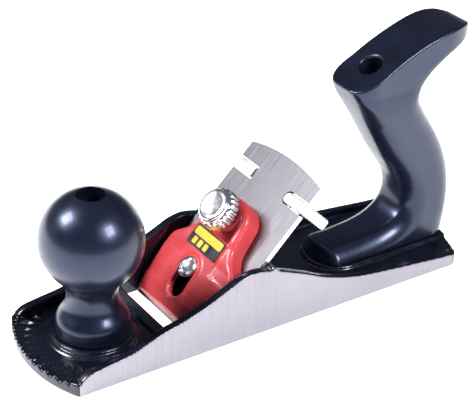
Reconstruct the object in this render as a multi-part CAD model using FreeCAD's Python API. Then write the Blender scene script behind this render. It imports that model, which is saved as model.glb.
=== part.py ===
import FreeCAD, Part
import math
import os

# Small bench plane, 185 mm long, for a 44.45 mm (1-3/4 in) blade.
# Frame: millimetres, X runs from toe (-X) to heel (+X), +Z up. The origin is on the flat of the
# sole, on the mid-plane and half way along the body.

# ---- body casting ---------------------------------------------------------------------------
BODY_LENGTH = 185.0
BODY_WIDTH = 52.6
TOE_SAGITTA = 6.7          # how far the toe bows out in front of its corners
HEEL_SAGITTA = 6.4
HEEL_CORNER_R = 2.5
CHEEK_THICK = 3.6
DECK_Z = 4.8               # top of the sole plate
CHEEK_PEAK_Z = 28.0
TOE_X = -BODY_LENGTH / 2
HEEL_X = BODY_LENGTH / 2
TOE_CORNER_X = TOE_X + TOE_SAGITTA
HEEL_CORNER_X = HEEL_X - HEEL_SAGITTA
TRAY_HALF = BODY_WIDTH / 2 - CHEEK_THICK

# ---- blade, bed and the frame they share ----------------------------------------------------
BED_ANGLE = 45.0
BED_X = -34.15             # where the plane of the blade's upper face meets the sole
BLADE_WIDTH = 44.45
BLADE_THICK = 2.0
BLADE_TIP_S = 0.75         # cutting edge, drawn back a little above the sole
BLADE_CORNER_S = 74.0
BLADE_TOP_S = 77.0
BLADE_BEVEL = 25.0
BED_THICK = 5.0
BED_TOP_S = 41.5
MOUTH_FRONT_X = -38.2      # front lip of the mouth at the sole
MOUTH_FRONT_TOP_X = -41.3  # the same wall at the deck
THROAT_BAR_Z = 6.0

# ---- notches in the blade and the yoke that drives them -------------------------------------
NOTCH_S = 64.6
NOTCH_WIDTH = 5.6
NOTCH_INNER_Y = 9.3
LUG_WIDTH = 4.4
TAB_Y = 33.6               # outer end of the thumb tab

# ---- front knob -----------------------------------------------------------------------------
KNOB_X = -65.6
KNOB_SEAT_Z = 7.0
KNOB_SEAT_R = 15.2
KNOB_BALL_Z = 45.4
KNOB_BALL_R = 19.3
KNOB_HOLE_R = 5.4

# ---- rear handle ----------------------------------------------------------------------------
HANDLE_HALF = 11.2
HANDLE_SEAT_Z = 6.3
HANDLE_BOLT_TOP = (56.0, 84.6)
HANDLE_BOLT_FOOT = (85.0, 6.3)
HANDLE_HOLE_R = 4.8

# ---- lever cap and screws -------------------------------------------------------------------
CAP_SCREW_S = 21.3
THUMB_SCREW_S = 45.5
CAP_FOOT_S = 1.8
CAP_END_S = 53.6
CAP_HALF = 22.0
CAP_LIFT = 0.05            # gap left under the cap so that the blade can slide

# ---- depth adjuster -------------------------------------------------------------------------
STUD_H = -13.1             # stud axis below the blade's upper face
STUD_R = 2.5
WHEEL_R = 7.0
WHEEL_S = (50.7, 57.2)
EAR_THICK = 1.4
WASHER_THICK = 0.7
PIVOT_S = 46.0
RUN = 0.06                 # radial running clearance


def vec(x, y, z):
    return FreeCAD.Vector(x, y, z)


def wire_of(points, close=True):
    """Straight-sided wire through 3-D points."""
    pts = [vec(*p) for p in points]
    if close:
        pts.append(pts[0])
    return Part.makePolygon(pts)


def prism(points, direction):
    """Straight-sided face through 3-D points, pushed along a direction."""
    return Part.Face(wire_of(points)).extrude(vec(*direction))


def slab_xz(points, half_width):
    """Side outline (x, z) made into a slab from -half_width to +half_width across Y."""
    return prism([(x, -half_width, z) for x, z in points], (0, 2 * half_width, 0))


def box(x0, x1, y0, y1, z0, z1):
    return Part.makeBox(x1 - x0, y1 - y0, z1 - z0, vec(x0, y0, z0))


def rod(radius, start, end):
    """Round bar between two points."""
    a = vec(*start)
    b = vec(*end)
    return Part.makeCylinder(radius, (b - a).Length, a, b - a)


def rod_up(radius, x, y, z0, z1):
    return rod(radius, (x, y, z0), (x, y, z1))


def spline(points):
    curve = Part.BSplineCurve()
    curve.interpolate([vec(*p) for p in points])
    return curve.toShape()


def arc(a, b, c):
    return Part.Arc(vec(*a), vec(*b), vec(*c)).toShape()


def line(a, b):
    return Part.makeLine(vec(*a), vec(*b))


def face_of(edges):
    return Part.Face(Part.Wire(edges))


def on_bed(shape):
    """Moves a shape from the blade's own frame (X up the blade, Z out of it) onto the bed."""
    turn = FreeCAD.Rotation(vec(0, 1, 0), -BED_ANGLE)
    moved = shape.copy()
    moved.Placement = FreeCAD.Placement(vec(BED_X, 0, 0), turn)
    return moved


def stadium(s0, s1, radius, z0, z1):
    """Upright slot-shaped block whose end centres lie at s0 and s1 on the X axis."""
    ends = rod_up(radius, s0, 0, z0, z1).fuse(rod_up(radius, s1, 0, z0, z1))
    return ends.fuse(box(s0, s1, -radius, radius, z0, z1)).removeSplitter()


def knurled(root_r, tip_r, teeth, x0, x1):
    """Bar along X with straight triangular knurling."""
    points = []
    for i in range(2 * teeth):
        radius = tip_r if i % 2 else root_r
        angle = math.pi * i / teeth
        points.append((x0, radius * math.cos(angle), radius * math.sin(angle)))
    return prism(points, (x1 - x0, 0, 0))


# ---- body casting ---------------------------------------------------------------------------

def body_plan():
    """Plan outline of the body, bowed at both ends."""
    w = BODY_WIDTH / 2
    toe = arc((TOE_CORNER_X, w, 0), (TOE_X, 0, 0), (TOE_CORNER_X, -w, 0))
    heel = arc((HEEL_CORNER_X, -w, 0), (HEEL_X, 0, 0), (HEEL_CORNER_X, w, 0))
    near = line((TOE_CORNER_X, -w, 0), (HEEL_CORNER_X, -w, 0))
    far = line((HEEL_CORNER_X, w, 0), (TOE_CORNER_X, w, 0))
    return face_of([toe, near, heel, far])


def cheek_outline():
    """Side outline of the cheeks: low at the toe, a hump beside the bed, then a long fall."""
    low = -10.0
    start = TOE_X - 5
    end = HEEL_X + 5
    ramp = spline([(TOE_CORNER_X, 0, DECK_Z), (TOE_CORNER_X + 1.6, 0, 6.6),
                   (TOE_CORNER_X + 4.4, 0, 8.2), (KNOB_X, 0, 10.7), (-50.8, 0, 15.4),
                   (-33.8, 0, 20.3), (-19.0, 0, 26.7), (-11.8, 0, CHEEK_PEAK_Z),
                   (-0.3, 0, 24.9), (19.2, 0, 16.3), (40.2, 0, 10.4), (64.0, 0, 7.3),
                   (HEEL_CORNER_X, 0, DECK_Z)])
    edges = [line((start, 0, low), (start, 0, DECK_Z)),
             line((start, 0, DECK_Z), (TOE_CORNER_X, 0, DECK_Z)), ramp,
             line((HEEL_CORNER_X, 0, DECK_Z), (end, 0, DECK_Z)),
             line((end, 0, DECK_Z), (end, 0, low)),
             line((end, 0, low), (start, 0, low))]
    return face_of(edges)


def body_shell():
    """Sole plate and two cheeks."""
    tall = CHEEK_PEAK_Z + 5
    block = body_plan().extrude(vec(0, 0, tall))
    corner_edges = [e for e in block.Edges
                    if abs(e.BoundBox.ZLength - tall) < 0.01 and e.BoundBox.XMin > 0]
    block = block.makeFillet(HEEL_CORNER_R, corner_edges)
    sides = cheek_outline().extrude(vec(0, BODY_WIDTH + 2, 0))
    sides.translate(vec(0, -BODY_WIDTH / 2 - 1, 0))
    shell = block.common(sides)
    tray = box(TOE_X - 2, HEEL_X + 2, -TRAY_HALF, TRAY_HALF, DECK_Z, tall)
    return shell.cut(tray)


def bed_ramp():
    """Sloping bed that carries the blade, with its screw boss, stud boss and web."""
    under = -BLADE_THICK
    back = under - BED_THICK
    plate = box(0, BED_TOP_S, -TRAY_HALF - 0.5, TRAY_HALF + 0.5, back, under)
    screw_boss = rod((6.5), (CAP_SCREW_S, 0, back - 4), (CAP_SCREW_S, 0, back + 1))
    stud_boss = rod(5.2, (27.0, 0, STUD_H), (BED_TOP_S, 0, STUD_H))
    bridge = box(27.0, BED_TOP_S, -3.0, 3.0, STUD_H, back + 1)
    ramp = plate.fuse([screw_boss, stud_boss, bridge])
    ramp = on_bed(ramp)
    web = slab_xz([(-20.0, 0.5), (9.5, 0.5), (9.5, DECK_Z + 1.5), (3.0, 13.0), (-6.0, 13.0)], 2.0)
    ribs = []
    for side in (-1, 1):
        rib = slab_xz([(-20.0, 0.5), (-2.0, 0.5), (-4.0, DECK_Z + 2), (-12.0, 13.0)], 1.5)
        rib.translate(vec(0, side * 15.0, 0))
        ribs.append(rib)
    solid = ramp.fuse([web] + ribs)
    room = box(-60, 40, -TRAY_HALF - 0.5, TRAY_HALF + 0.5, 0, 60)
    return solid.common(room)


def mouth_cutter():
    """Slot through the sole in front of the bed, rounded at its front corners."""
    top = THROAT_BAR_Z + 2
    bed_foot = BED_X + 2 * BLADE_THICK * math.cos(math.radians(BED_ANGLE))
    lean = (MOUTH_FRONT_TOP_X - MOUTH_FRONT_X) / DECK_Z
    outline = [(MOUTH_FRONT_X - lean, -1.0), (MOUTH_FRONT_X + lean * top, top),
               (bed_foot + top, top), (bed_foot - 1.0, -1.0)]
    slot = slab_xz(outline, TRAY_HALF)
    front_edges = [e for e in slot.Edges
                   if e.BoundBox.YLength < 0.01 and e.BoundBox.XMax < MOUTH_FRONT_X + 1]
    return slot.makeFillet(1.4, front_edges)


def toe_flutes():
    """Round-bottomed grip grooves that fan out from the knob across the rim of the toe."""
    cutters = []
    count = 17
    pitch = math.radians(9.4)
    inner_r = 22.0
    groove_r = 1.75
    for i in range(count):
        angle = math.pi + (i - (count - 1) / 2) * pitch
        ux = math.cos(angle)
        uy = math.sin(angle)
        start = (KNOB_X + inner_r * ux, inner_r * uy, DECK_Z + 0.75)
        end = (KNOB_X + 40 * ux, 40 * uy, DECK_Z + 0.25)
        cutters.append(rod(groove_r, start, end))
    keep = box(TOE_X - 5, KNOB_X - 2, -TRAY_HALF + 0.4, TRAY_HALF - 0.4, 0, 10)
    return [c.common(keep) for c in cutters]


def sole_casting():
    body = body_shell()
    pads = [rod_up(KNOB_SEAT_R, KNOB_X, 0, DECK_Z - 1, KNOB_SEAT_Z),
            rod_up(KNOB_SEAT_R + 1.5, KNOB_X, 0, DECK_Z - 1, DECK_Z + 0.7),
            box(-47.0, -39.0, -TRAY_HALF - 0.5, TRAY_HALF + 0.5, DECK_Z - 1, THROAT_BAR_Z),
            handle_pad(), bed_ramp()]
    body = body.fuse(pads)
    body = body.cut(mouth_cutter())
    body = body.cut(toe_flutes())
    body = body.cut([on_bed(rod(3.0, (CAP_SCREW_S, 0, -14), (CAP_SCREW_S, 0, 0))),
                     on_bed(rod(STUD_R, (30.0, 0, STUD_H), (BED_TOP_S + 1, 0, STUD_H))),
                     rod_up(3.0, KNOB_X, 0, 1.5, KNOB_SEAT_Z + 1),
                     handle_rod(3.0, 1.3, 0.0, 1.0)])
    return body.removeSplitter()


def handle_pad():
    """Raised seat under the rear handle, round at the front and cut to the heel at the back."""
    half = HANDLE_HALF + 2.8
    front = 42.5
    pad = rod_up(half, front, 0, DECK_Z - 1, HANDLE_SEAT_Z)
    pad = pad.fuse(box(front, HEEL_X + 2, -half, half, DECK_Z - 1, HANDLE_SEAT_Z))
    return pad.common(body_plan().extrude(vec(0, 0, 20)))


# ---- front knob and its fastener ------------------------------------------------------------

def front_knob():
    """Ball knob turned as one piece: foot, waist and ball."""
    neck_join_z = 30.6
    neck_join_r = math.sqrt(KNOB_BALL_R ** 2 - (KNOB_BALL_Z - neck_join_z) ** 2)
    hole_z = KNOB_BALL_Z + math.sqrt(KNOB_BALL_R ** 2 - KNOB_HOLE_R ** 2)
    bore = 3.3
    seat = KNOB_SEAT_Z
    floor_z = 50.0
    edges = [line((bore, 0, seat), (13.0, 0, seat)),
             line((13.0, 0, seat), (13.7, 0, seat + 0.7)),
             line((13.7, 0, seat + 0.7), (13.7, 0, 12.2)),
             spline([(13.7, 0, 12.2), (13.3, 0, 14.0), (12.1, 0, 16.0), (10.7, 0, 18.0),
                     (9.8, 0, 20.6), (9.5, 0, 23.8), (10.3, 0, 27.6), (neck_join_r, 0, neck_join_z)]),
             arc((neck_join_r, 0, neck_join_z), (KNOB_BALL_R, 0, KNOB_BALL_Z),
                 (KNOB_HOLE_R, 0, hole_z)),
             line((KNOB_HOLE_R, 0, hole_z), (KNOB_HOLE_R, 0, floor_z)),
             line((KNOB_HOLE_R, 0, floor_z), (bore, 0, floor_z)),
             line((bore, 0, floor_z), (bore, 0, seat))]
    knob = face_of(edges).revolve(vec(0, 0, 0), vec(0, 0, 1), 360)
    knob.translate(vec(KNOB_X, 0, 0))
    return Part.makeSolid(Part.Shell(knob.Faces))


def knob_screw():
    head_z = 51.0
    shank = rod_up(3.0, KNOB_X, 0, 2.0, head_z)
    head = rod_up(4.9, KNOB_X, 0, head_z, head_z + 3.2)
    head = head.makeFillet(1.2, [e for e in head.Edges if e.BoundBox.ZMin > head_z + 3])
    slot = box(KNOB_X - 6, KNOB_X + 6, -0.6, 0.6, head_z + 1.8, head_z + 4)
    return shank.fuse(head).cut(slot).removeSplitter()


def knob_washer():
    return rod_up(5.1, KNOB_X, 0, 50.0, 51.0).cut(rod_up(3.1, KNOB_X, 0, 49, 52))


# ---- rear handle and its fastener -----------------------------------------------------------

def handle_axis():
    """Lower end and unit direction of the bolt that holds the rear handle."""
    foot = vec(HANDLE_BOLT_FOOT[0], 0, HANDLE_BOLT_FOOT[1])
    top = vec(HANDLE_BOLT_TOP[0], 0, HANDLE_BOLT_TOP[1])
    return foot, (top - foot).normalize(), (top - foot).Length


def handle_rod(radius, below, start, end):
    """Round bar on the handle bolt's axis; start and end are distances above the seat."""
    foot, way, _ = handle_axis()
    a = foot + way * (start - below / way.z)
    return Part.makeCylinder(radius, end - start + below / way.z, a, way)


def rounded_slab(edges, radius, keep):
    """Closed side outline made as wide as the handle, long edges rounded where keep(box) holds."""
    block = face_of(edges).extrude(vec(0, 2 * HANDLE_HALF, 0))
    block.translate(vec(0, -HANDLE_HALF, 0))
    long_edges = [e for e in block.Edges
                  if e.BoundBox.YLength < 0.01 and keep(e.BoundBox)]
    return block.makeFillet(radius, long_edges)


def path_edges(curves):
    """Closes a chain of splines (lists of x, z points) with straight lines between them."""
    edges = []
    for i, points in enumerate(curves):
        after = curves[(i + 1) % len(curves)][0]
        points = [(x, 0, z) for x, z in points]
        if len(points) > 1:
            edges.append(spline(points))
        edges.append(line(points[-1], (after[0], 0, after[1])))
    return edges


def handle_foot():
    """Flat foot with a square front end that sweeps up into the grip."""
    z0 = HANDLE_SEAT_Z
    crest = [(36.5, 13.2), (50.0, 13.5), (62.0, 14.8), (69.3, 18.0), (72.2, 23.5), (71.0, 31.0)]
    outline = path_edges([crest, [(82.0, 31.0)], [(82.0, z0)], [(36.5, z0)]])
    foot = rounded_slab(outline, 5.6, lambda b: b.ZLength > 14 and b.XMin < 40)
    slant = prism([(30.0, -20, z0 - 1), (36.9, -20, z0 - 1), (35.2, -20, 20), (30.0, -20, 20)],
                  (0, 40, 0))
    return foot.cut(slant)


def handle_grip():
    """Raked oval grip, taken a little past the top and the foot."""
    front = [(37.5, 88.0), (42.6, 78.4), (47.0, 71.5), (53.6, 60.0), (61.6, 46.0),
             (70.0, 32.0), (73.5, 22.0), (74.5, 6.3)]
    rear = [(92.7, 6.3), (94.8, 15.0), (95.0, 26.6), (93.2, 36.6), (88.6, 47.0), (82.0, 57.6),
            (76.4, 67.0), (71.5, 77.0), (67.0, 88.0)]
    return rounded_slab(path_edges([front, rear]), 7.0, lambda b: b.ZLength > 60)


def handle_horn():
    """Broad top that sweeps back into a thin horn."""
    top = [(41.0, 77.6), (47.5, 80.4), (54.2, 83.7), (64.2, 89.1), (75.0, 93.6), (84.0, 96.1),
           (91.0, 97.0), (96.0, 96.5), (99.5, 95.1), (102.6, 92.4)]
    under = [(102.2, 90.6), (94.0, 89.0), (86.5, 85.8), (79.6, 80.0), (76.0, 72.6), (77.4, 65.6)]
    outline = path_edges([top, under, [(66.0, 62.0)], [(50.0, 68.0)], [(41.0, 76.2)]])
    return rounded_slab(outline, 2.6, lambda b: b.ZLength > 20 and b.XMax > 100)


def handle_plan():
    """Plan outline of the handle top: round front, sides that close in to a blunt tip."""
    w = HANDLE_HALF
    tip_x = 102.6
    sides = []
    for sign in (1, -1):
        sides.append(spline([(52.0, sign * w, 0), (66.0, sign * w, 0), (82.0, sign * (w - 0.2), 0),
                             (90.5, sign * (w - 1.0), 0), (96.5, sign * (w - 3.4), 0)]))
    tip = arc((96.5, w - 3.4, 0), (tip_x, 0, 0), (96.5, 3.4 - w, 0))
    front = arc((52.0, w, 0), (40.8, 0, 0), (52.0, -w, 0))
    return face_of([sides[0], tip, sides[1], front])


def rear_handle():
    horn = handle_horn()
    lid = [(30.0, 60.0), (41.0, 77.4), (54.2, 83.5), (64.2, 88.9), (72.0, 92.0), (110.0, 92.0),
           (110.0, 0.0), (30.0, 0.0)]
    grip = handle_grip().common(slab_xz(lid, 20))
    upper = horn.fuse(grip).removeSplitter()
    plan = handle_plan().extrude(vec(0, 0, 60))
    plan.translate(vec(0, 0, 62.0))
    upper_part = upper.common(plan)
    lower_part = grip.common(box(30, 110, -20, 20, 0, 62.0))
    _, _, length = handle_axis()
    bore = handle_rod(3.3, 4.0, 0.0, length + 4)
    well = handle_rod(HANDLE_HOLE_R, 0.0, length - 16.0, length + 14)
    solid = upper_part.fuse([lower_part, handle_foot()])
    return solid.cut([bore, well]).removeSplitter()


def handle_bolt():
    _, _, length = handle_axis()
    return handle_rod(2.9, 1.2, 0.0, length - 12.5)


def handle_washer():
    _, _, length = handle_axis()
    ring = handle_rod(4.6, 0.0, length - 16.0, length - 15.0)
    return ring.cut(handle_rod(3.1, 0.0, length - 17.0, length - 14.0))


def handle_nut():
    """Slotted barrel nut at the bottom of the handle's well."""
    _, _, length = handle_axis()
    nut = handle_rod(4.4, 0.0, length - 15.0, length - 8.0)
    nut = nut.cut(handle_rod(2.9, 0.0, length - 15.5, length - 12.5))
    foot, way, _ = handle_axis()
    slot = Part.makeBox(12, 1.2, 1.6, vec(-6, -0.6, 0))
    slot.Placement = FreeCAD.Placement(foot + way * (length - 9.5),
                                       FreeCAD.Rotation(vec(0, 0, 1), way))
    slot = slot.copy()
    return nut.cut(slot)


# ---- blade ----------------------------------------------------------------------------------

def blade():
    half = BLADE_WIDTH / 2
    t = BLADE_THICK
    edges = [line((BLADE_TIP_S, -half, -t), (BLADE_TIP_S, half, -t)),
             line((BLADE_TIP_S, half, -t), (BLADE_CORNER_S, half, -t)),
             arc((BLADE_CORNER_S, half, -t), (BLADE_TOP_S, 0, -t), (BLADE_CORNER_S, -half, -t)),
             line((BLADE_CORNER_S, -half, -t), (BLADE_TIP_S, -half, -t))]
    plate = face_of(edges).extrude(vec(0, 0, t))
    run = t / math.tan(math.radians(BLADE_BEVEL))
    tip = BLADE_TIP_S
    bevel = prism([(tip, -half - 1, 0), (tip + run, -half - 1, -t), (tip + run, -half - 1, -t - 1),
                   (tip - 1, -half - 1, -t - 1), (tip - 1, -half - 1, 0)], (0, 2 * half + 2, 0))
    slot = stadium(CAP_SCREW_S - 7.0, CAP_SCREW_S + 9.0, 4.2, -t - 1, 1)
    w = NOTCH_WIDTH / 2
    cutters = [bevel, slot]
    for side in (-1, 1):
        inner = NOTCH_INNER_Y + w if side < 0 else NOTCH_INNER_Y + 1.0
        y0, y1 = sorted((side * inner, side * (half + 1)))
        cutters.append(box(NOTCH_S - w, NOTCH_S + w, y0, y1, -t - 1, 1))
        if side < 0:
            cutters.append(rod_up(w, NOTCH_S, -inner, -t - 1, 1))
    return on_bed(plate.cut(cutters))


# ---- lever cap ------------------------------------------------------------------------------

def cap_plan(inset=0.0):
    """Plan outline: a broad square foot that draws in to a narrow rounded end."""
    w = CAP_HALF - inset
    foot_s = CAP_FOOT_S + inset
    end_s = CAP_END_S - inset
    neck = (48.6, 9.6 - inset)
    sides = []
    for sign in (1, -1):
        curve = spline([(24.5, sign * w, 0), (28.6, sign * (20.4 - inset), 0),
                        (33.0, sign * (15.4 - inset), 0), (37.5, sign * (12.5 - inset), 0),
                        (43.6, sign * (11.2 - inset), 0), (neck[0], sign * neck[1], 0)])
        sides.append([line((foot_s, sign * w, 0), (24.5, sign * w, 0)), curve])
    end = arc((neck[0], neck[1], 0), (end_s, 0, 0), (neck[0], -neck[1], 0))
    foot = line((foot_s, w, 0), (foot_s, -w, 0))
    return face_of([foot] + sides[0] + [end, sides[1][1], sides[1][0]])


def cap_side(drop):
    """Side outline (s, h) of the cap's back, lowered by drop."""
    top = spline([(CAP_FOOT_S + drop, 0, 2.4 - drop), (5.4 + drop, 0, 4.6 - drop),
                  (9.5 + drop, 0, 6.4 - drop), (16.0, 0, 7.2 - drop), (28.0, 0, 7.9 - drop),
                  (40.0, 0, 8.5 - drop), (CAP_END_S - drop, 0, 8.7 - drop)])
    low = -1.0 if drop else CAP_LIFT
    s0 = CAP_FOOT_S + drop
    s1 = CAP_END_S - drop
    h0 = 2.4 - drop
    h1 = 8.7 - drop
    edges = [line((s0, 0, low), (s0, 0, h0)), top, line((s1, 0, h1), (s1, 0, low)),
             line((s1, 0, low), (s0, 0, low))]
    return face_of(edges)


def cap_blank():
    outline = cap_plan().extrude(vec(0, 0, 14))
    back = cap_side(0).extrude(vec(0, 2 * CAP_HALF + 4, 0))
    back.translate(vec(0, -CAP_HALF - 2, 0))
    crown_r = 125.0
    crown = rod(crown_r, (0, 0, 8.2 - crown_r), (28.0, 0, 8.2 - crown_r))
    crown = crown.fuse(box(26.0, 60, -40, 40, -5, 20))
    return outline.common(back).common(crown)


def lever_cap():
    solid = cap_blank()
    wall = 2.6
    hollow = cap_side(wall).extrude(vec(0, 2 * (CAP_HALF - wall), 0))
    hollow.translate(vec(0, -CAP_HALF + wall, 0))
    inner = cap_plan(wall).extrude(vec(0, 0, 14))
    hollow = hollow.common(inner).common(box(9.0, 60, -30, 30, -2, 20))
    posts = rod_up(6.5, THUMB_SCREW_S, 0, 1.2, 8.0)
    posts = posts.fuse(stadium(14.0, CAP_SCREW_S, 7.0, 2.2, 8.0))
    solid = solid.cut(hollow.cut(posts))
    badge_seat = box(27.4, 38.4, -10.3, 10.3, 7.0, 20)
    thumb_well = prism([(37.6, -9.0, 4.3), (44.5, -7.9, 4.3), (49.4, -5.6, 4.3),
                        (49.4, 5.6, 4.3), (44.5, 7.9, 4.3), (37.6, 9.0, 4.3)], (0, 0, 10))
    keyhole = stadium(13.9, CAP_SCREW_S + 0.4, 3.3, -2, 20)
    keyhole = keyhole.fuse(rod_up(4.9, 13.9, 0, -2, 20))
    screw_hole = rod_up(3.0 + RUN, THUMB_SCREW_S, 0, -2, 20)
    lip = stadium(13.9, CAP_SCREW_S, 6.1, 5.0, 7.75).common(cap_plan().extrude(vec(0, 0, 14)))
    solid = solid.fuse(lip)
    boss = rod_up(5.6, THUMB_SCREW_S, 0, 3.0, 6.4)
    nose_bevel = prism([(CAP_FOOT_S - 1, -CAP_HALF - 1, 1.6), (CAP_FOOT_S, -CAP_HALF - 1, 1.6),
                        (CAP_FOOT_S + 2.0, -CAP_HALF - 1, 3.6), (CAP_FOOT_S - 1, -CAP_HALF - 1, 3.6)],
                       (0, 2 * CAP_HALF + 2, 0))
    solid = solid.cut([badge_seat, thumb_well, nose_bevel]).fuse(boss)
    solid = solid.cut([keyhole, screw_hole])
    return on_bed(solid.removeSplitter())


def lever_cap_badge():
    """Plain generic name plate, lying in its shallow seat."""
    plate = box(28.5, 36.9, -9.5, 9.5, 7.0, 7.5)
    return on_bed(plate)


def lever_cap_screw():
    """Round-head slotted screw that the cap hooks under."""
    s = CAP_SCREW_S
    head_h = 7.8
    dome_r = 5.4
    shank = rod_up(3.0, s, 0, -11.0, head_h)
    dome = Part.makeSphere(dome_r, vec(s, 0, head_h + 2.9 - dome_r))
    head = rod_up(4.5, s, 0, head_h, head_h + 3).common(dome)
    slot = box(s - 6, s + 6, -0.6, 0.6, head_h + 1.5, head_h + 4)
    slot.rotate(vec(s, 0, 0), vec(0, 0, 1), -10)
    return on_bed(shank.fuse(head).cut(slot).removeSplitter())


def thumb_screw():
    """Knurled clamping screw: its tip bears on the blade and tips the cap down."""
    s = THUMB_SCREW_S
    low = 11.4
    disc = knurled(7.6, 8.3, 26, 0, 4.6)
    disc.rotate(vec(0, 0, 0), vec(0, 1, 0), -90)
    disc.translate(vec(s, 0, low))
    cone = Part.makeCone(9.2, 6.4, 5.2, vec(s, 0, low), vec(0, 0, 1))
    disc = disc.common(cone.fuse(rod_up(9, s, 0, low, low + 2.6)))
    face = rod_up(5.7, s, 0, low + 4, low + 6.4)
    face = face.makeFillet(0.9, [e for e in face.Edges if e.BoundBox.ZMin > low + 6])
    collar = rod_up(3.6, s, 0, 6.7, low + 0.5)
    shank = rod_up(3.0, s, 0, CAP_LIFT, low + 1)
    return on_bed(shank.fuse([collar, disc, face]).removeSplitter())


# ---- depth and lateral adjuster -------------------------------------------------------------

def stud_rod(radius, s0, s1):
    return rod(radius, (s0, 0, STUD_H), (s1, 0, STUD_H))


def depth_stud():
    body = stud_rod(STUD_R, 30.5, 65.5)
    groove = stud_rod(STUD_R + 1, 63.0, 63.75).cut(stud_rod(STUD_R - 0.5, 62, 65))
    return on_bed(body.cut(groove))


def stud_clip():
    """E-shaped clip that stops the carriage at the end of the stud."""
    clip = stud_rod(4.6, 63.05, 63.7).cut(stud_rod(STUD_R - 0.5, 62, 65))
    mouth = box(62, 65, -1.6, 1.6, STUD_H, STUD_H + 6)
    return on_bed(clip.cut(mouth))


def depth_wheel():
    s0, s1 = WHEEL_S
    wheel = knurled(WHEEL_R - 0.5, WHEEL_R, 30, s0, s1)
    wheel.translate(vec(0, 0, STUD_H))
    groove = stud_rod(WHEEL_R + 1, 53.5, 54.4).cut(stud_rod(WHEEL_R - 1.0, 53, 55))
    return on_bed(wheel.cut([stud_rod(STUD_R + RUN, s0 - 1, s1 + 1), groove]))


def wheel_washers():
    s0, s1 = WHEEL_S
    rings = []
    for start in (s0 - WASHER_THICK, s1):
        ring = stud_rod(4.8, start, start + WASHER_THICK)
        rings.append(on_bed(ring.cut(stud_rod(STUD_R + RUN, start - 1, start + 2))))
    return Part.makeCompound(rings)


def adjuster_carriage():
    """Bent plate whose two ears hold the wheel between them; the yoke is riveted to its tongue."""
    s0 = WHEEL_S[0] - WASHER_THICK
    s1 = WHEEL_S[1] + WASHER_THICK
    top = -4.3
    under = top - EAR_THICK
    plate = box(42.9, s1 + EAR_THICK, -6.5, 6.5, under, top)
    ears = []
    for start in (s0 - EAR_THICK, s1):
        ear = box(start, start + EAR_THICK, -6.5, 6.5, STUD_H - 1, top)
        round_end = rod(6.5, (start, 0, STUD_H - 1), (start + EAR_THICK, 0, STUD_H - 1))
        ears.append(ear.fuse(round_end))
    bent = plate.fuse(ears)
    holes = [stud_rod(STUD_R + 0.1, 45, 62), rod_up(2.05, PIVOT_S, 0, under - 1, top + 1)]
    return on_bed(bent.cut(holes).removeSplitter())


def yoke_rivet():
    shank = rod_up(2.0, PIVOT_S, 0, -5.9, -2.5)
    head = rod_up(3.3, PIVOT_S, 0, -3.1, -2.4)
    tail = rod_up(2.5, PIVOT_S, 0, -6.5, -5.7)
    return on_bed(shank.fuse([head, tail]).removeSplitter())


def lateral_yoke():
    """Cross lever under the blade with a lug in each notch and a thumb tab on the near side."""
    top = -2.3
    under = -3.9
    w = LUG_WIDTH / 2
    s0 = NOTCH_S - w
    s1 = NOTCH_S + w
    stem = prism([(42.9, -5.5, under), (50.0, -6.5, under), (s0, -6.5, under), (s0, 6.5, under),
                  (50.0, 6.5, under), (42.9, 5.5, under)], (0, 0, top - under))
    bar = box(s0, s1, -20.8, 20.8, under, top)
    lug_top = 0.6
    near_inner = NOTCH_INNER_Y + 0.7 + w
    near_lug = box(s0, s1, -20.8, -near_inner, under, lug_top)
    near_lug = near_lug.fuse(rod_up(w, NOTCH_S, -near_inner, under, lug_top))
    far_lug = box(s0, s1, NOTCH_INNER_Y + 1.8, 20.8, under, lug_top)
    bend_y = 26.8
    tab = box(s0, s1, -bend_y, -20.5, lug_top - 1.8, lug_top)
    droop = 1.4
    end = prism([(s0, -bend_y, lug_top), (s0, -TAB_Y, lug_top - droop),
                 (s0, -TAB_Y, lug_top - droop - 1.8), (s0, -bend_y, lug_top - 1.8)],
                (LUG_WIDTH, 0, 0))
    corners = [e for e in end.Edges if e.BoundBox.XLength < 0.01
               and e.BoundBox.YMax < -TAB_Y + 0.1]
    end = end.makeFillet(1.3, corners)
    solid = stem.fuse([bar, near_lug, far_lug, tab, end])
    hole = rod_up(2.0 + RUN, PIVOT_S, 0, -8, 0)
    seat = rod_up(3.3 + 0.1, PIVOT_S, 0, -3.15, 0)
    return on_bed(solid.cut([hole, seat]).removeSplitter())


NODES = {
    "sole_casting": sole_casting,
    "front_knob": front_knob,
    "knob_screw": knob_screw,
    "knob_washer": knob_washer,
    "rear_handle": rear_handle,
    "handle_bolt": handle_bolt,
    "handle_washer": handle_washer,
    "handle_nut": handle_nut,
    "blade": blade,
    "lever_cap": lever_cap,
    "lever_cap_badge": lever_cap_badge,
    "lever_cap_screw": lever_cap_screw,
    "thumb_screw": thumb_screw,
    "depth_stud": depth_stud,
    "stud_clip": stud_clip,
    "depth_wheel": depth_wheel,
    "wheel_washers": wheel_washers,
    "adjuster_carriage": adjuster_carriage,
    "yoke_rivet": yoke_rivet,
    "lateral_yoke": lateral_yoke,
}

os.makedirs("parts", exist_ok=True)
for name, make in NODES.items():
    shape = make()
    print(name, "solids", len(shape.Solids), "valid", shape.isValid(), round(shape.Volume, 1))
    shape.exportStep("parts/" + name + ".step")
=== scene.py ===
import math

import bpy
import numpy as np
from mathutils import Matrix, Vector


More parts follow.
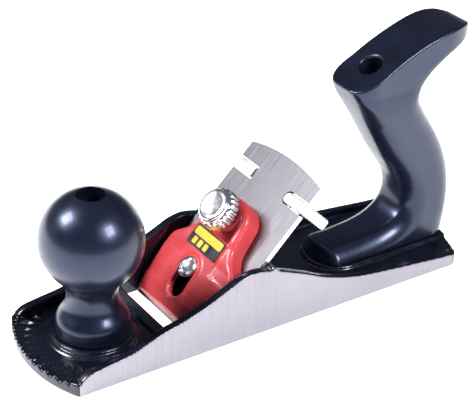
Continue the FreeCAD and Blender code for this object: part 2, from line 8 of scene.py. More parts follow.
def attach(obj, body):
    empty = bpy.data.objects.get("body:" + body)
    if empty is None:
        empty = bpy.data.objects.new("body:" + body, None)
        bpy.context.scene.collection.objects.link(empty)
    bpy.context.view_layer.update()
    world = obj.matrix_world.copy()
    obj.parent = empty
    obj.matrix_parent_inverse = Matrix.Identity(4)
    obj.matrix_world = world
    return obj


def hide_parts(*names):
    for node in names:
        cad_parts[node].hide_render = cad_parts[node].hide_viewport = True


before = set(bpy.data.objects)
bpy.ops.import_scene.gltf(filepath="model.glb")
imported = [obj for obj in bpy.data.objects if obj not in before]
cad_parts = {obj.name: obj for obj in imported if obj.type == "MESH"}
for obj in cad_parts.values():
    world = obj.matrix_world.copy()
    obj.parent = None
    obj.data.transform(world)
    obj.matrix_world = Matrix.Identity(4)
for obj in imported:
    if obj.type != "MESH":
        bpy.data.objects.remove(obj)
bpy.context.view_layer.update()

MM = 0.001


# ---- materials --------------------------------------------------------------------------------

class Mat:
    """A node material on a Principled shader, with short helpers for its procedural detail."""

    def __init__(self, name, color, rough, metal=0.0, coat=0.0, spec=0.5):
        self.m = bpy.data.materials.new(name)
        self.m.use_nodes = True
        self.t = self.m.node_tree
        self.p = self.t.nodes["Principled BSDF"]
        self.p.inputs["Base Color"].default_value = (*color, 1)
        self.p.inputs["Roughness"].default_value = rough
        self.p.inputs["Metallic"].default_value = metal
        self.p.inputs["Coat Weight"].default_value = coat
        self.p.inputs["Coat Roughness"].default_value = 0.06
        self.p.inputs["Specular IOR Level"].default_value = spec
        self.coord = self.add("ShaderNodeTexCoord").outputs["Object"]
        self.height = None

    def add(self, kind, **sets):
        node = self.t.nodes.new(kind)
        for key, value in sets.items():
            setattr(node, key, value)
        return node

    def link(self, out, socket):
        self.t.links.new(out, socket)
        return self

    def mapped(self, scale):
        """The piece's own coordinates, stretched."""
        node = self.add("ShaderNodeMapping")
        node.inputs["Scale"].default_value = scale
        self.link(self.coord, node.inputs["Vector"])
        return node.outputs[0]

    def noise(self, scale, detail, stretch=(1, 1, 1), rough=0.5):
        node = self.add("ShaderNodeTexNoise")
        node.inputs["Scale"].default_value = scale
        node.inputs["Detail"].default_value = detail
        node.inputs["Roughness"].default_value = rough
        self.link(self.mapped(stretch), node.inputs["Vector"])
        return node.outputs["Fac"]

    def ramp(self, fac, stops):
        """Colour ramp: stops are (position, colour), colour a grey number or an RGB triple."""
        node = self.add("ShaderNodeValToRGB")
        ramp = node.color_ramp
        while len(ramp.elements) < len(stops):
            ramp.elements.new(0.5)
        for element, (at, tone) in zip(ramp.elements, stops):
            element.position = at
            element.color = (tone, tone, tone, 1) if isinstance(tone, (int, float)) else (*tone, 1)
        self.link(fac, node.inputs[0])
        return node.outputs[0]

    def math(self, operation, a, b=None):
        node = self.add("ShaderNodeMath", operation=operation)
        for socket, value in zip(node.inputs, (a, b)):
            if isinstance(value, (int, float)):
                socket.default_value = value
            elif value is not None:
                self.link(value, socket)
        return node.outputs[0]

    def facing(self, letter):
        """One part of the direction that the surface faces, in the piece's own axes."""
        normal = self.add("ShaderNodeTexCoord").outputs["Normal"]
        node = self.add("ShaderNodeSeparateXYZ")
        self.link(normal, node.inputs[0])
        return node.outputs[letter]

    def mix(self, fac, a, b):
        """Mix of two colours, each a socket or an RGB triple."""
        node = self.add("ShaderNodeMix", data_type="RGBA")
        self.link(fac, node.inputs[0])
        for socket, value in ((node.inputs[6], a), (node.inputs[7], b)):
            if isinstance(value, tuple):
                socket.default_value = (*value, 1)
            else:
                self.link(value, socket)
        return node.outputs[2]

    def bump(self, fac, strength, distance):
        node = self.add("ShaderNodeBump")
        node.inputs["Strength"].default_value = strength
        node.inputs["Distance"].default_value = distance
        self.link(fac, node.inputs["Height"])
        if self.height is not None:
            self.link(self.height, node.inputs["Normal"])
        self.height = node.outputs[0]
        self.link(self.height, self.p.inputs["Normal"])
        return self

    def color(self, out):
        return self.link(out, self.p.inputs["Base Color"])

    def rough(self, out):
        return self.link(out, self.p.inputs["Roughness"])


def plastic(name):
    """Moulded black plastic: bluish, with faint flow clouds and a fine texture."""
    mat = Mat(name, (0.006, 0.008, 0.018), 0.3, coat=0.15, spec=0.6)
    mat.p.inputs["Coat Roughness"].default_value = 0.1
    mat.p.inputs["Specular Tint"].default_value = (0.52, 0.62, 1.0, 1)
    clouds = mat.noise(60, 4)
    mat.color(mat.ramp(clouds, [(0.3, (0.003, 0.004, 0.010)), (0.8, (0.007, 0.009, 0.020))]))
    mat.rough(mat.ramp(mat.noise(220, 5), [(0.25, 0.26), (0.75, 0.36)]))
    mat.bump(mat.noise(1500, 3), 0.05, 0.0001)
    return mat.m


def enamel(name, color, dark, rough=0.16, coat=0.6):
    """Stoved enamel: uneven depth of colour and a slight orange-peel surface."""
    mat = Mat(name, color, rough, coat=coat)
    mat.p.inputs["Specular Tint"].default_value = (0.85, 0.88, 1.0, 1)
    mat.color(mat.ramp(mat.noise(70, 4), [(0.3, dark), (0.75, color)]))
    mat.rough(mat.ramp(mat.noise(180, 4), [(0.3, rough * 0.8), (0.7, rough * 1.6)]))
    mat.bump(mat.noise(420, 2), 0.05, 0.0003)
    return mat.m


def ground_metal(name, tone, rough, stretch, depth=0.1, edge=None):
    """Ground metal: long fine scratches over soft blotches, with a painted highlight on the side faces if
    asked (edge is the tone of that painted highlight).
    """
    mat = Mat(name, tone, rough, metal=1.0)
    scratch = mat.noise(60, 5, stretch, rough=0.7)
    lines = mat.ramp(scratch, [(0.3, tuple(c * 0.72 for c in tone)), (0.7, tuple(c * 1.2 for c in tone))])
    blotch = mat.ramp(mat.noise(45, 3), [(0.35, tuple(c * 0.85 for c in tone)), (0.7, tone)])
    surface = mat.mix(mat.noise(25, 2), lines, blotch)
    if edge is not None:
        # Painted highlight: faces turned along Y get the bright edge tone, standing in for the light line
        # along the blade's side edges.
        side_highlight_mask = mat.math("GREATER_THAN", mat.math("ABSOLUTE", mat.facing("Y")), 0.9)
        surface = mat.mix(side_highlight_mask, surface, mat.ramp(scratch, [(0.3, edge * 0.8), (0.7, edge)]))
    mat.color(surface)
    mat.rough(mat.ramp(scratch, [(0.25, rough * 0.85), (0.75, rough * 1.25)]))
    mat.bump(scratch, depth, 0.0001)
    return mat.m


def plate(name, tone, rough, grain=0.01):
    """Bright or dull plating with a cloudy sheen."""
    mat = Mat(name, tone, rough, metal=1.0)
    cloud = mat.noise(240, 4)
    mat.color(mat.ramp(cloud, [(0.3, tuple(c * 0.86 for c in tone)), (0.7, tone)]))
    mat.rough(mat.ramp(cloud, [(0.25, rough * 0.7), (0.75, rough * 1.5)]))
    mat.bump(mat.noise(700, 2), grain, 0.0001)
    return mat.m


black_plastic = plastic("moulded_black")
black_enamel = enamel("black_enamel", (0.005, 0.006, 0.014), (0.002, 0.0025, 0.007), 0.2, 0.15)
red_enamel = enamel("red_enamel", (0.61, 0.062, 0.07), (0.52, 0.042, 0.05), 0.3, 0.2)
ground_steel = ground_metal("ground_steel", (0.295, 0.28, 0.32), 0.46, (26, 1, 1.5))
# The 0.8 here is the tone of the painted highlight on the blade's side faces.
blade_steel = ground_metal("blade_steel", (0.185, 0.18, 0.20), 0.36, (1.5, 34, 1.5), 0.06, 0.8)
bright_plate = plate("bright_plate", (0.86, 0.86, 0.88), 0.24)
lug_plate = plate("lug_plate", (0.78, 0.78, 0.80), 0.42)
zinc_plate = plate("zinc_plate", (0.52, 0.53, 0.56), 0.3, 0.06)
brass = plate("brass", (0.74, 0.52, 0.24), 0.26, 0.06)
badge_black = enamel("badge_black", (0.012, 0.012, 0.013), (0.007, 0.007, 0.008), 0.3, 0.2)
badge_yellow = enamel("badge_yellow", (0.70, 0.54, 0.02), (0.58, 0.43, 0.012), 0.35, 0.2)

LOOKS = {
    "sole_casting": black_enamel, "front_knob": black_plastic, "knob_screw": zinc_plate,
    "knob_washer": zinc_plate, "rear_handle": black_plastic, "handle_bolt": zinc_plate,
    "handle_washer": zinc_plate, "handle_nut": zinc_plate, "blade": blade_steel,
    "lever_cap": red_enamel, "lever_cap_badge": badge_black, "lever_cap_screw": bright_plate,
    "thumb_screw": bright_plate, "depth_stud": zinc_plate, "stud_clip": zinc_plate,
    "depth_wheel": brass, "wheel_washers": zinc_plate, "adjuster_carriage": zinc_plate,
    "yoke_rivet": zinc_plate, "lateral_yoke": lug_plate,
}
for name, look in LOOKS.items():
    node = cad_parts[name]
    for slot in node.material_slots:
        slot.material = look


# ---- solids from distance fields --------------------------------------------------------------
# A field is negative inside the solid. All lengths in this section are in millimetres.

def space(low, high, step):
    """Grid coordinates from low to high, with a margin of two cells."""
    lines = [np.arange(a - 2 * step, b + 2.5 * step, step) for a, b in zip(low, high)]
    return np.meshgrid(*lines, indexing="ij")


def cut_round(a, b, radius):
    """Common part of two fields, with the edge between them rounded."""
    return np.maximum(a, b) + np.maximum(radius - np.abs(a - b), 0) ** 2 / (4 * radius)


def common(*fields):
    """Common part of several fields, with sharp edges."""
    out = fields[0]
    for field in fields[1:]:
        out = np.maximum(out, field)
    return out


def join_round(a, b, radius):
    """Union of two fields, with a fillet between them."""
    return -cut_round(-a, -b, radius)


def smooth_path(points, steps=8):
    """Points of a Catmull-Rom curve through the given points."""
    p = np.array([points[0]] + list(points) + [points[-1]], float)
    out = []
    for i in range(1, len(p) - 2):
        for t in np.arange(steps) / steps:
            a, b, c, d = p[i - 1:i + 3]
            out.append(0.5 * (2 * b + (c - a) * t + (2 * a - 5 * b + 4 * c - d) * t ** 2
                              + (3 * b - a - 3 * c + d) * t ** 3))
    return np.array(out + [p[-1]])


def path_gap(path, U, V):
    """Distance from each (U, V) to an open path."""
    gap = np.full(U.shape, 1e9)
    for (u0, v0), (u1, v1) in zip(path[:-1], path[1:]):
        du, dv = u1 - u0, v1 - v0
        t = np.clip(((U - u0) * du + (V - v0) * dv) / (du * du + dv * dv + 1e-12), 0, 1)
        gap = np.minimum(gap, np.hypot(U - u0 - t * du, V - v0 - t * dv))
    return gap


def outline_gap(path, U, V):
    """Signed distance to a closed outline, negative inside."""
    ring = np.vstack([path, path[:1]])
    inside = np.zeros(U.shape, bool)
    for (u0, v0), (u1, v1) in zip(ring[:-1], ring[1:]):
        if v0 != v1:
            inside ^= ((v0 > V) != (v1 > V)) & (U < (u1 - u0) * (V - v0) / (v1 - v0) + u0)
    gap = path_gap(ring, U, V)
    return np.where(inside, -gap, gap)


def skin(field):
    """One vertex in each cell that the surface crosses and a quad on each edge that it crosses."""
    n = np.array(field.shape) - 1
    total = np.zeros((*n, 3))
    hits = np.zeros(n)
    for axis in range(3):
        b, c = (axis + 1) % 3, (axis + 2) % 3
        for db in (0, 1):
            for dc in (0, 1):
                start = [0, 0, 0]
                start[b], start[c] = db, dc
                end = list(start)
                end[axis] = 1
                f0 = field[tuple(slice(start[a], start[a] + n[a]) for a in range(3))]
                f1 = field[tuple(slice(end[a], end[a] + n[a]) for a in range(3))]
                cross = (f0 < 0) != (f1 < 0)
                hits += cross
                total[..., axis] += np.where(cross, f0 / np.where(cross, f0 - f1, 1), 0)
                total[..., b] += cross * db
                total[..., c] += cross * dc
    active = hits > 0
    index = np.full(n, -1)
    index[active] = np.arange(np.count_nonzero(active))
    verts = np.argwhere(active) + total[active] / hits[active][:, None]
    solid = field < 0
    quads = []
    for axis in range(3):
        b, c = (axis + 1) % 3, (axis + 2) % 3
        near = [slice(1, -1)] * 3
        near[axis] = slice(0, -1)
        far = list(near)
        far[axis] = slice(1, None)
        starts, ends = solid[tuple(near)], solid[tuple(far)]
        at = np.argwhere(starts != ends)
        outward = starts[tuple(at.T)]
        at[:, b] += 1
        at[:, c] += 1
        ring = []
        for db, dc in ((1, 1), (0, 1), (0, 0), (1, 0)):
            cell = at.copy()
            cell[:, b] -= db
            cell[:, c] -= dc
            ring.append(index[tuple(cell.T)])
        quad = np.stack(ring, axis=1)
        quad[~outward] = quad[~outward][:, ::-1]
        quads.append(quad)
    return verts, np.vstack(quads)


def piece(name, verts, faces, materials, body, replaces, pick=None):
    """Makes a mesh piece (millimetres), joins it to its CAD body and hides the CAD parts that it
    replaces.
    """
    mesh = bpy.data.meshes.new(name)
    mesh.from_pydata((np.asarray(verts) * MM).tolist(), [], [list(face) for face in faces])
    for material in materials:
        mesh.materials.append(material)
    mesh.polygons.foreach_set("use_smooth", [True] * len(mesh.polygons))
    if pick is not None:
        centres = np.asarray(verts)[np.asarray(faces)].mean(axis=1)
        mesh.polygons.foreach_set("material_index", pick(centres).astype(np.int32))
    obj = bpy.data.objects.new(name, mesh)
    bpy.context.scene.collection.objects.link(obj)
    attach(obj, body)
    if replaces:
        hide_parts(*replaces)
    return obj


def carve(name, grid, step, field, materials, body, replaces, to_part=None, pick=None):
    """Piece whose surface is the zero surface of a field on a grid."""
    verts, faces = skin(field)
    verts = verts * step + np.array([axis.min() for axis in grid])
    if to_part is not None:
        verts = to_part(verts)
    return piece(name, verts, faces, materials, body, replaces, pick)


# ---- shared geometry of the part --------------------------------------------------------------

BED_X = -34.15             # where the blade frame starts
ROOT_HALF = math.sqrt(0.5)
DECK = 4.8                 # top of the sole
HALF_LENGTH = 92.5
HALF_WIDTH = 26.3
TRAY_HALF = 22.7           # inner face of each cheek
KNOB_X = -65.6
MOUTH_X = -38.2            # front wall of the mouth at the sole
MOUTH_TOP_X = -41.3        # the same wall at the deck
HANDLE_SEAT = 6.3
CAP_SCREW_S = 21.3
THUMB_S = 45.5             # axis of the thumb screw
LUG_S = 64.6               # middle of the yoke's lugs
YOKE_PIVOT_S = 46


def from_bed(verts):
    """Blade frame (s up the blade, y, h out of it) to the part's frame."""
    s, y, h = verts.T
    return np.stack([BED_X + (s - h) * ROOT_HALF, y, (s + h) * ROOT_HALF], axis=1)


def bow(X, Y, end_x, sagitta, side):
    """Field of the bowed end of the body: side is -1 at the toe and 1 at the heel."""
    radius = (HALF_WIDTH ** 2 + sagitta ** 2) / (2 * sagitta)
    return side * (X - end_x) + radius - np.sqrt(np.maximum(radius ** 2 - Y ** 2, 1))


CHEEK = smooth_path([(-95, 4.0), (-85.8, 4.9), (-84.4, 6.4), (-81.3, 8.3), (-75.8, 9.3), (-64.8, 10.8),
                     (-57, 13.5), (-50.8, 15.5), (-42.8, 17.3), (-33.8, 20.3), (-24.2, 24.3),
                     (-19, 26.7), (-15.8, 27.6), (-11.8, 28.0), (-6.8, 27.1), (-0.3, 25.0),
                     (6.2, 22.3), (12.8, 19.4), (19.2, 16.3), (26.2, 13.7), (33.2, 11.7),
                     (40.2, 10.3), (54.2, 8.5), (68.2, 7.0), (82.7, 5.3), (87.2, 4.6), (96, 4.0)])


def casting():
    """Sole, cheeks, seats, bed, stud boss, mouth and the fan of grip flutes at the toe."""
    step = 0.45
    grid = space((-93, -26.5, 0), (93, 26.5, 29), step)
    X, Y, Z = grid
    across = np.abs(Y)
    plan = cut_round(across - HALF_WIDTH, bow(X, Y, -HALF_LENGTH, 6.7, -1), 1.2)
    plan = cut_round(plan, bow(X, Y, HALF_LENGTH, 6.4, 1), 3.0)
    height = np.interp(X[:, 0, 0], CHEEK[:, 0], CHEEK[:, 1])[:, None, None]
    cheek = cut_round(TRAY_HALF - across, Z - height, 0.9)
    solid = join_round(Z - DECK, cheek, 1.8)
    knob_r = np.hypot(X - KNOB_X, Y)
    for radius, top, fillet in ((15.2, 7.0, 1.0), (16.7, 5.5, 0.8)):
        solid = join_round(solid, cut_round(knob_r - radius, Z - top, 0.6), fillet)
    bar = cut_round(np.abs(X + 43.4) - 3.4, Z - 6.0, 0.8)
    solid = join_round(solid, bar, 1.0)
    seat_x = np.maximum(44.5 - X, 0)
    seat = cut_round(np.hypot(seat_x, Y) - 13.2, Z - HANDLE_SEAT, 0.6)
    solid = join_round(solid, seat, 1.2)
    s = (X - BED_X + Z) * ROOT_HALF
    h = (Z - X + BED_X) * ROOT_HALF
    plate = common(h + 2.15, -7 - h, s - 41.3)
    solid = join_round(solid, plate, 0.4)
    stud_boss = np.maximum(np.hypot(Y, h + 13.1) - 5.2, np.abs(s - 33.8) - 6.8)
    web = common(across - 2.2, X - 9.5, h + 6, Z - 15)
    solid = join_round(join_round(solid, stud_boss, 1.0), web, 1.5)
    angle = np.arctan2(Y, KNOB_X - X)
    pitch = math.radians(9.4)
    nearest = np.clip(np.round(angle / pitch), -8, 8) * pitch
    aside = knob_r * np.sin(angle - nearest)
    drop = Z - DECK - 0.7 + 0.03 * (knob_r - 22) - 0.25 * np.maximum(25.5 - knob_r, 0)
    groove = np.hypot(aside, drop) - 1.75
    groove = common(groove, 20.0 - knob_r, X + 67.5, across - 22.3)
    solid = cut_round(solid, -groove, 0.4)
    field = cut_round(np.maximum(solid, -Z), plan, 0.8)
    lean = (MOUTH_TOP_X - MOUTH_X) / DECK
    mouth = common((MOUTH_X + lean * Z) - X, -2 - h, across - TRAY_HALF, Z - 9)
    field = np.maximum(field, -mouth)

    def pick(centres):
        """Ground steel on the outer sides and the sole, enamel elsewhere."""
        _, y, z = centres.T
        ground = (np.abs(y) > HALF_WIDTH - 0.2) | (z < 0.15)
        return np.where(ground, 1, 0)

    carve("casting", grid, step, field, [black_enamel, ground_steel], "body", ["sole_casting"],
          pick=pick)


def soften(field, turns):
    """Smooths a 2-D field by repeated averaging with its neighbours."""
    for _ in range(turns):
        wide = np.pad(field, 1, mode="edge")
        field = (wide[:-2, 1:-1] + wide[2:, 1:-1] + wide[1:-1, :-2] + wide[1:-1, 2:] + 2 * field) / 6
    return field


def handle():
    """Swept grip: side profile, rounded section, plan of the horn, foot's nose and bolt well."""
    step = 0.5
    grid = space((27, -14.5, HANDLE_SEAT), (103.5, 14.5, 97.5), step)
    X, Y, Z = grid
    U, V = X[:, 0, :], Z[:, 0, :]
    front = smooth_path([(20, 13.0), (36, 13.2), (50, 13.6), (60, 14.8), (67, 17.4), (70.6, 21.6),
                         (71.0, 27), (68.4, 34), (60.4, 46), (52.2, 60), (45.6, 71.6), (42.6, 78.2),
                         (38.5, 85)], 24)
    top = smooth_path([(38, 76.4), (41.0, 78.2), (47.5, 81.0), (54.2, 84.3), (64.2, 89.5), (75, 93.8),
                       (84, 96.2), (91, 97.0), (96, 96.4), (99.5, 94.9), (103.4, 91.6)], 12)
    rear = smooth_path([(106, 95.0), (102.4, 93.0), (98.6, 91.2), (93, 88.6), (86, 84.8), (80, 80.0),
                        (76.6, 75.0), (76.2, 70), (79.8, 62.8), (86.6, 52.5), (92, 42), (95, 31),
                        (95.6, 20), (94, 8), (92.8, 0)], 24)
    body = np.vstack([front, [(38, 110), (104, 110)], rear, [(20, 0)]])
    inside = -outline_gap(body, U, V)
    front_gap = soften(np.where(inside > 0, 1, -1) * path_gap(front, U, V), 40)
    rear_gap = soften(np.where(inside > 0, 1, -1) * path_gap(rear, U, V), 40)
    lid = V - np.interp(U, top[:, 0], top[:, 1])
    ends = np.interp(V, [14, 30, 62, 80], [9.5, 9.5, 9.5, 3.5])
    back = np.interp(V, [10, 70, 84, 92], [11.0, 10.0, 6.5, 3.5])
    width = np.interp(V, [6, 40, 75, 84], [12.4, 12.0, 12.3, 13.5])
    q = np.clip(1 - front_gap / ends, 0, 3) ** 2.0 + np.clip(1 - rear_gap / back, 0, 3) ** 2.3
    across = np.abs(Y) / width[:, None, :]
    keen = np.interp(V, [20, 36, 66, 82], [2.6, 1.9, 1.9, 2.6])
    power = keen + (2.6 - keen) * np.clip(front_gap / 13, 0, 1)
    section = ((q[:, None, :] + across ** power[:, None, :]) ** (1 / 2.4) - 1) * 8
    half = smooth_path([(42.2, -1), (42.2, 1), (42.8, 5.2), (45.4, 9.4), (50.3, 11.5), (57, 11.5),
                        (65.7, 11.4), (74, 11.4), (82, 11.6), (88, 11.2), (93.4, 9.6), (97.6, 6.6),
                        (100.2, 3.2), (101.2, 0.6), (101.2, -1)], 6)[6:-6]
    rim = np.vstack([half, half[::-1][1:-1] * (1, -1)])
    plan = outline_gap(rim, X[:, :, 0], Y[:, :, 0])
    spread = np.interp(Z[0, 0], [58, 76], [4, 0])
    horn = np.where(Z > 58, plan[:, :, None] - spread, -9)
    section = cut_round(section, horn, 1.5)
    field = cut_round(section, lid[:, None, :] * 0.9, 0.6)
    nose = 33.0 + 0.42 * np.minimum(Z - HANDLE_SEAT, 8.5) + 0.026 * Y * Y - X
    field = cut_round(field, nose * 0.85, 1.6)
    foot, tip = np.array([85.0, HANDLE_SEAT]), np.array([56.0, 84.6])
    way = (tip - foot) / np.linalg.norm(tip - foot)
    along = (X - foot[0]) * way[0] + (Z - foot[1]) * way[1]
    aside = (X - foot[0]) * way[1] - (Z - foot[1]) * way[0]
    well = np.maximum(np.hypot(aside, Y) - 4.7, 68.0 - along)
    field = cut_round(np.maximum(field, HANDLE_SEAT - Z), -well, 0.9)
    carve("handle", grid, step, field, [black_plastic], "body", ["rear_handle"])


def cap():
    """Lever cap: crowned top, keyhole slot with a lip, well and post for the thumb screw."""
    step = 0.36
    grid = space((1.4, -22.3, 0), (54, 22.3, 9.6), step)
    S, Y, H = grid
    U, V = S[:, :, 0], Y[:, :, 0]
    half = smooth_path([(24.5, 22.0), (28.4, 20.4), (32.6, 15.6), (36.8, 12.7), (43.6, 11.3),
                        (48.2, 10.2), (51.4, 7.4), (53.2, 3.6), (53.6, 0)], 5)
    right = half[::-1][1:] * (1, -1)
    edge = np.vstack([[(1.8, 22.0)], half, right, [(1.8, -22.0)]])
    plan = outline_gap(edge, U, V)
    rise = np.interp(U, [1, 2.5, 5.0, 9, 15, 22, 30, 40, 54],
                     [2.0, 2.9, 4.4, 5.8, 6.8, 7.5, 7.9, 8.2, 8.4])
    across = np.abs(V)
    crown = (across / 22) ** 2 * np.interp(U, [3, 12, 24, 31], [0.8, 2.0, 2.0, 0.0])
    fade = np.clip((U - 23) / 5, 0, 1)
    step_down = np.clip((across - 9.3) / 1.3, 0, 1) * fade * np.clip((39 - U) / 3, 0, 1) * 0.7
    slot = np.hypot(V, np.maximum(np.abs(U - 17.1) - 3.9, 0)) - 4.1
    lip = 0.75 * np.exp(-((slot - 1.0) / 0.9) ** 2)
    top = rise - crown - step_down + lip
    field = cut_round(plan[:, :, None], H - top[:, :, None], 2.2)
    inner = smooth_path([(37.4, 8.9), (43.6, 8.0), (47.6, 6.4), (49.8, 3.4), (50.3, 0)], 4)
    well_edge = np.vstack([inner, inner[::-1][1:] * (1, -1)])
    well = outline_gap(well_edge, U, V)[:, :, None]
    axis_gap = np.hypot(S - THUMB_S, Y)
    post = axis_gap - 5.6
    well_cut = cut_round(well, 4.4 - H, 1.6)
    field = cut_round(field, -well_cut, 1.3)
    field = join_round(field, np.maximum(post, np.maximum(H - 6.4, 2 - H)), 0.8)
    roof = top[:, :, None] - 2.6 - 2.8 * np.clip((2.6 - well) / 1.2, 0, 1)
    hollow = common(plan[:, :, None] + 2.6, H - roof, 9 - S)
    field = np.maximum(field, -np.maximum(hollow, -post - 1))
    field = cut_round(field, -slot[:, :, None], 0.5)
    field = np.maximum(field, -(axis_gap - 3.1))
    field = np.maximum(field, 0.05 - H)
    bevel = np.maximum((S - H - 0.2) * ROOT_HALF, 1.6 - H)
    field = np.maximum(field, -bevel)
    carve("cap", grid, step, field, [red_enamel], "cap", ["lever_cap"],
          to_part=from_bed)


def thumb_wheel():
    """Knurled clamping screw with a dished top and its shank."""
    step = 0.24
    grid = space((36.8, -8.7, 0.05), (54.2, 8.7, 18.2), step)
    S, Y, H = grid
    r = np.hypot(S - THUMB_S, Y)
    angle = np.arctan2(Y, S - THUMB_S)
    limit = np.interp(H, [0, 6.5, 6.7, 10.9, 11.1, 11.7, 15.0, 15.7, 16.3, 16.6, 17.5, 18.1],
                      [3.0, 3.0, 3.6, 3.6, 7.2, 8.2, 8.2, 7.8, 7.0, 6.7, 6.6, 5.9])
    rim = np.clip((H - 11) / 0.5, 0, 1) * np.clip((16.1 - H) / 0.5, 0, 1)
    knurl = 0.34 * (1 + np.cos(angle * 22)) * rim
    field = (r - limit + knurl) * 0.8
    dish = np.hypot(r, H - 47.6) - 30.0
    field = cut_round(field, H - 18.0, 0.8)
    field = np.maximum(np.maximum(field, -dish), 0.05 - H)
    carve("thumb_wheel", grid, step, field, [bright_plate], "clamp", ["thumb_screw"],
          to_part=from_bed)


def cap_screw():
    """Round-head slotted screw that holds the cap."""
    step = 0.2
    grid = space((16.4, -4.8, -10.9), (26.2, 4.8, 11), step)
    S, Y, H = grid
    r = np.hypot(S - CAP_SCREW_S, Y)
    shank = np.maximum(r - 3.0, H - 8.5)
    dome = np.hypot(r, H - 5.6) - 5.3
    head = cut_round(cut_round(r - 4.45, dome, 0.6), 7.8 - H, 0.4)
    turn = math.radians(-10)
    aside = np.abs((S - CAP_SCREW_S) * math.sin(turn) - Y * math.cos(turn))
    kerf = np.maximum(aside - 0.55, 9.5 - H)
    field = cut_round(np.minimum(shank, head), -kerf, 0.2)
    field = np.maximum(field, -10.9 - H)
    carve("cap_screw", grid, step, field, [bright_plate], "body", ["lever_cap_screw"],
          to_part=from_bed)


def rounded_bar(S, Y, H, low, high, radius):
    """Field of a box with rounded edges."""
    gaps = []
    for axis, a, b in zip((S, Y, H), low, high):
        gaps.append(np.abs(axis - (a + b) / 2) - (b - a) / 2 + radius)
    outer = np.sqrt(sum(np.maximum(g, 0) ** 2 for g in gaps))
    return outer + np.minimum(common(*gaps), 0) - radius


def yoke():
    """Lateral yoke: stem on its rivet, cross bar, two lugs and the bent thumb tab."""
    step = 0.3
    grid = space((42.5, -34, -4), (67.2, 21.2, 1.0), step)
    S, Y, H = grid
    w = 2.2
    a, b = LUG_S - w, LUG_S + w
    droop = np.maximum(-26.8 - Y, 0) * 0.2
    bar = rounded_bar(S, Y, H, (a, -20.8, -3.9), (b, 20.8, -2.3), 0.3)
    inner = 9.3 + 0.7
    near = rounded_bar(S, Y, H, (a, -20.8, -3.9), (b, -inner - w, 0.6), 0.4)
    near_end = common(np.hypot(S - LUG_S, Y + inner + w) - w, H - 0.6, -3.9 - H)
    tab = rounded_bar(S, Y, H + droop, (a, -33.6, -1.2), (b, -18, 0.6), 0.45)
    corner = np.hypot(np.maximum(np.abs(S - LUG_S) - w + 1.4, 0), np.maximum(-32.2 - Y, 0)) - 1.4
    far = rounded_bar(S, Y, H, (a, 11.1, -3.9), (b, 20.8, 0.6), 0.4)
    stem = rounded_bar(S, Y, H, (42.9, -6.5, -3.9), (64.0, 6.5, -2.3), 0.3)
    parts = [bar, near, near_end, np.maximum(tab, corner), far, stem]
    field = -common(*[-part for part in parts])
    pivot_gap = np.hypot(S - YOKE_PIVOT_S, Y)
    hole = np.minimum(pivot_gap - 2.1, np.maximum(pivot_gap - 3.4, -3.15 - H))
    field = np.maximum(field, -hole)
    carve("yoke", grid, step, field, [lug_plate], "yoke", ["lateral_yoke"],
          to_part=from_bed)


def badge():
    """Thin plate on the cap with a plain long bar and three small squares: no lettering."""
    verts, faces, tones = [], [], []
    s0_badge, s1_badge, half = 28.5, 36.9, 9.5

    def tile(s0, s1, y0, y1, low, high, radius, tone):
        corners = []
        for cs, cy, start in ((s1, y1, 0), (s0, y1, 90), (s0, y0, 180), (s1, y0, 270)):
            centre_s = cs - radius if cs == s1 else cs + radius
            centre_y = cy - radius if cy == y1 else cy + radius
            for k in range(5):
                a = math.radians(start + 22.5 * k)
                corners.append((centre_s + radius * math.cos(a), centre_y + radius * math.sin(a)))
        first = len(verts)
        count = len(corners)
        for level in (low, high):
            verts.extend((u, v, 7.86 + 0.034 * (u - s0_badge) + level) for u, v in corners)
        faces.append(tuple(first + count + k for k in range(count)))
        faces.append(tuple(first + k for k in reversed(range(count))))
        tones.extend([tone, tone])
        for k in range(count):
            after = (k + 1) % count
            faces.append((first + k, first + after, first + count + after, first + count + k))
            tones.append(tone)

    middle = (s0_badge + s1_badge) / 2
    tile(s0_badge, s1_badge, -half, half, -0.4, 0.14, 0.4, 0)
    tile(middle + 0.2, s1_badge - 0.7, 0.8 - half, half - 0.8, 0.05, 0.2, 0.9, 1)
    for k in range(3):
        left = half - 2.4 - 3.6 * k
        tile(s0_badge + 0.9, middle - 0.5, left - 2.4, left, 0.05, 0.2, 0.5, 1)
    mesh_verts = from_bed(np.array(verts))
    obj = piece("badge", mesh_verts, faces, [badge_black, badge_yellow], "cap", ["lever_cap_badge"])
    obj.data.polygons.foreach_set("material_index", tones)
    obj.data.polygons.foreach_set("use_smooth", [False] * len(faces))


casting()
handle()
cap()
thumb_wheel()
cap_screw()
yoke()
badge()


# ---- stage, lights and camera -----------------------------------------------------------------

def flat_mesh(name, corners, material):
    """Single flat face."""
    mesh = bpy.data.meshes.new(name)
    mesh.from_pydata([Vector(c) for c in corners], [], [tuple(range(len(corners)))])
    mesh.materials.append(material)
    obj = bpy.data.objects.new(name, mesh)
    bpy.context.scene.collection.objects.link(obj)
    return obj


def floor_look():
    """Pale, slightly uneven floor that gives off a little light."""
    mat = Mat("pale_floor", (0.9, 0.9, 0.9), 0.6, spec=0.1)
    mat.color(mat.ramp(mat.noise(3, 3), [(0.3, 0.88), (0.8, 0.93)]))
    mat.p.inputs["Emission Color"].default_value = (1, 1, 1, 1)
    mat.p.inputs["Emission Strength"].default_value = 1.5
    return mat.m


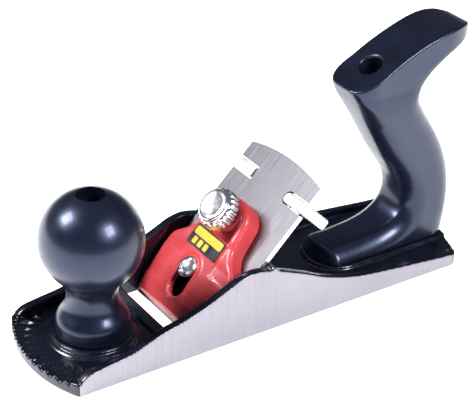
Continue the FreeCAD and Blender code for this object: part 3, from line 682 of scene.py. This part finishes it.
FLOOR_HALF = 3.0
floor = flat_mesh("floor", [(-FLOOR_HALF, -FLOOR_HALF, 0), (FLOOR_HALF, -FLOOR_HALF, 0),
                            (FLOOR_HALF, FLOOR_HALF, 0), (-FLOOR_HALF, FLOOR_HALF, 0)], floor_look())


LIGHT_REACH = 0.9
LIGHT_AIM = Vector((0, 0, 0.03))


def lamp(name, way, size, power):
    """Square soft light in the given direction, aimed at the middle of the part."""
    data = bpy.data.lights.new(name, "AREA")
    data.shape = "RECTANGLE"
    data.size = data.size_y = size
    data.energy = power
    obj = bpy.data.objects.new(name, data)
    place = Vector([c * LIGHT_REACH for c in Vector(way).normalized()])
    turn = (LIGHT_AIM - place).to_track_quat("-Z", "Y").to_matrix().to_4x4()
    obj.matrix_world = Matrix.Translation(place) @ turn
    bpy.context.scene.collection.objects.link(obj)


lamp("rear_light", (-0.62, 0.35, 0.70), 0.30, 10.5)
lamp("front_light", (0.23, -0.72, 0.65), 0.28, 9)

world = bpy.data.worlds.new("studio")
world.use_nodes = True
world.node_tree.nodes["Background"].inputs[0].default_value = (0.75, 0.82, 1.0, 1)
world.node_tree.nodes["Background"].inputs[1].default_value = 0.12
bpy.context.scene.world = world
bpy.context.scene.view_settings.view_transform = "Standard"


def add_camera():
    """Camera at the photographed angle, given by azimuth, elevation, roll, place and lens."""
    azimuth, elevation, roll = (math.radians(a) for a in (-34.428, 30.08, 1.87))
    place = Vector((-0.303227, -0.437079, 0.348321))
    back = Vector((math.sin(azimuth) * math.cos(elevation),
                   -math.cos(azimuth) * math.cos(elevation), math.sin(elevation)))
    right = Vector((math.cos(azimuth), math.sin(azimuth), 0))
    up = back.cross(right)
    turned = math.cos(roll) * right + math.sin(roll) * up
    up = math.cos(roll) * up - math.sin(roll) * right
    data = bpy.data.cameras.new("camera")
    data.sensor_width = 36
    data.lens = 124.32
    data.clip_end = 20
    obj = bpy.data.objects.new("camera", data)
    obj.matrix_world = Matrix((
        (turned.x, up.x, back.x, place.x), (turned.y, up.y, back.y, place.y),
        (turned.z, up.z, back.z, place.z), (0, 0, 0, 1)))
    bpy.context.scene.collection.objects.link(obj)
    bpy.context.scene.camera = obj


add_camera()
